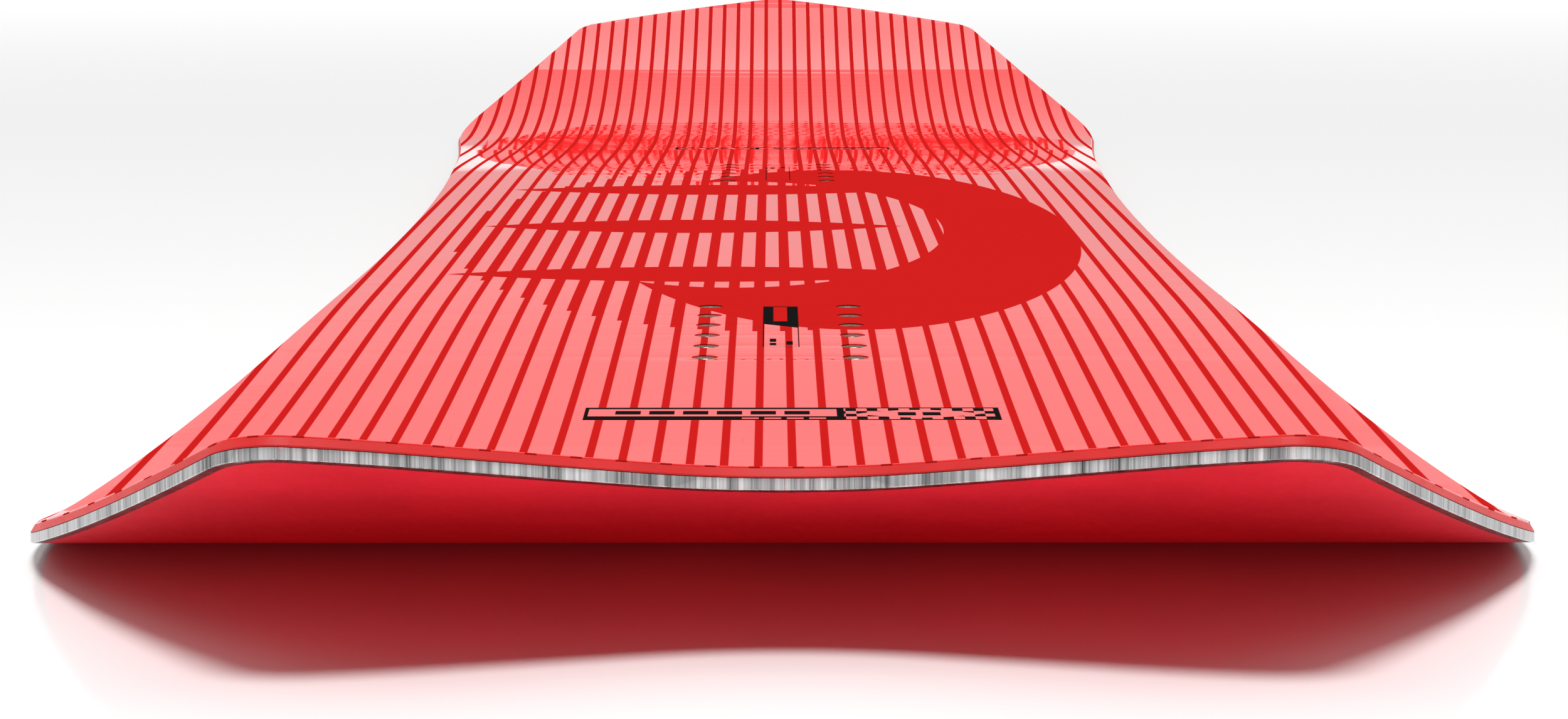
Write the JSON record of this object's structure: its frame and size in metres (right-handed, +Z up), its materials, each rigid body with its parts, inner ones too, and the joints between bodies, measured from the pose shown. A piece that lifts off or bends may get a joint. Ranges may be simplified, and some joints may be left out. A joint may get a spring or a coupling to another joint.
{
  "type": "snowboard",
  "caption": "Snowboard without bindings: laminated deck with upturned nose and notched tail, bevelled rim, steel edge and threaded binding inserts.",
  "frame": {"origin": "on the floor, at the middle of the board's length and width", "axes": "+X to the right looking at the nose, +Y from the tail to the nose, +Z up out of the deck"},
  "size_m": [0.315, 1.5198, 0.0631],
  "materials": {
    "topsheet": "glossy printed topsheet, light red with lengthwise dark red stripes",
    "sidewall": "bright red ABS, cut and bevelled",
    "base": "dark red sintered polyethylene, waxed and stone ground",
    "edge_steel": "hardened steel, ground across its length",
    "insert_steel": "turned stainless steel",
    "rubber": "black damping rubber foil",
    "laminate": "epoxy and glass fibre, slightly yellow",
    "glass_mat": "woven glass mat, wetted with epoxy",
    "stringer": "dark basalt fibre tape",
    "core_poplar": "planed poplar",
    "core_hardwood": "planed beech and ash"
  },
  "bodies": {
    "root": {"base_sheet": "base", "bottom_laminate": "laminate", "core_centre_strip": "core_poplar", "core_inner_strip_left": "core_poplar", "core_inner_strip_right": "core_poplar", "core_insert_strip_left": "core_hardwood", "core_insert_strip_right": "core_hardwood", "core_middle_strip_left": "core_poplar", "core_middle_strip_right": "core_poplar", "core_outer_strip_left": "core_poplar", "core_outer_strip_right": "core_poplar", "core_rail_strip_left": "core_hardwood", "core_rail_strip_right": "core_hardwood", "core_shoulder_strip_left": "core_poplar", "core_shoulder_strip_right": "core_poplar", "damping_foil_left": "rubber", "damping_foil_right": "rubber", "front_insert_mat": "glass_mat", "front_inserts": "insert_steel", "nose_spacer": "sidewall", "rear_insert_mat": "glass_mat", "rear_inserts": "insert_steel", "sidewall_left": "sidewall", "sidewall_right": "sidewall", "steel_edge_left": "edge_steel", "steel_edge_right": "edge_steel", "stringer_left": "stringer", "stringer_right": "stringer", "tail_spacer": "sidewall", "top_laminate": "laminate", "topsheet": "topsheet"}
  },
  "joints": []
}
